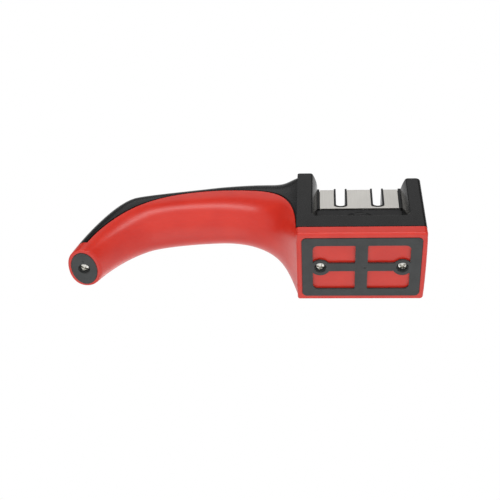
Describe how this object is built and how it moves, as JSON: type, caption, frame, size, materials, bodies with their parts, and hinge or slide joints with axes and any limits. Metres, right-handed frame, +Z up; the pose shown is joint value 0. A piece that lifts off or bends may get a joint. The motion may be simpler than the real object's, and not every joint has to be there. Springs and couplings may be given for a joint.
{
  "type": "pull-through sharpener",
  "caption": "Hand-held pull-through edge sharpener: arched round handle, block head with a lift-out slotted cartridge between uneven posts, flat rubber base pad and heel foot.",
  "frame": {"origin": "middle of the bounding box on the surface that the tool stands on", "axes": "+X from the handle's heel towards the head's free end, +Y towards the rear face of the cartridge, +Z up, away from the base pad"},
  "size_m": [0.2074, 0.0496, 0.0698],
  "materials": {
    "red_plastic": "moulded, satin gloss",
    "black_plastic": "fine spark-textured, soft sheen",
    "grey_rubber": "soft dark grey rubber",
    "screw_steel": "bright zinc plated",
    "cartridge_plastic": "moulded matt",
    "brushed_cover": "vertically brushed stainless",
    "carbide": "ground grey carbide",
    "white_ceramic": "fine matt white"
  },
  "bodies": {
    "carcass": {"body_shell": "red_plastic", "top_cover": "black_plastic", "base_pad": "grey_rubber", "foot_pad": "grey_rubber", "base_screw_left": "screw_steel", "base_screw_right": "screw_steel", "foot_screw": "screw_steel"},
    "cartridge": {"cartridge_front_half": "cartridge_plastic", "cartridge_rear_half": "cartridge_plastic", "steel_cover": "brushed_cover", "coarse_slot_guide": "cartridge_plastic", "fine_slot_guide": "cartridge_plastic", "carbide_blade_front": "carbide", "carbide_blade_rear": "carbide", "carbide_cross_pin": "screw_steel", "ceramic_rod_front": "white_ceramic", "ceramic_rod_rear": "white_ceramic", "cartridge_screw_left": "screw_steel", "cartridge_screw_right": "screw_steel"}
  },
  "joints": [
    {"name": "cartridge_lift", "type": "slide", "parent": "carcass", "child": "cartridge", "axis": [0, 0, 1], "range_m": [0, 0.057]}
  ]
}
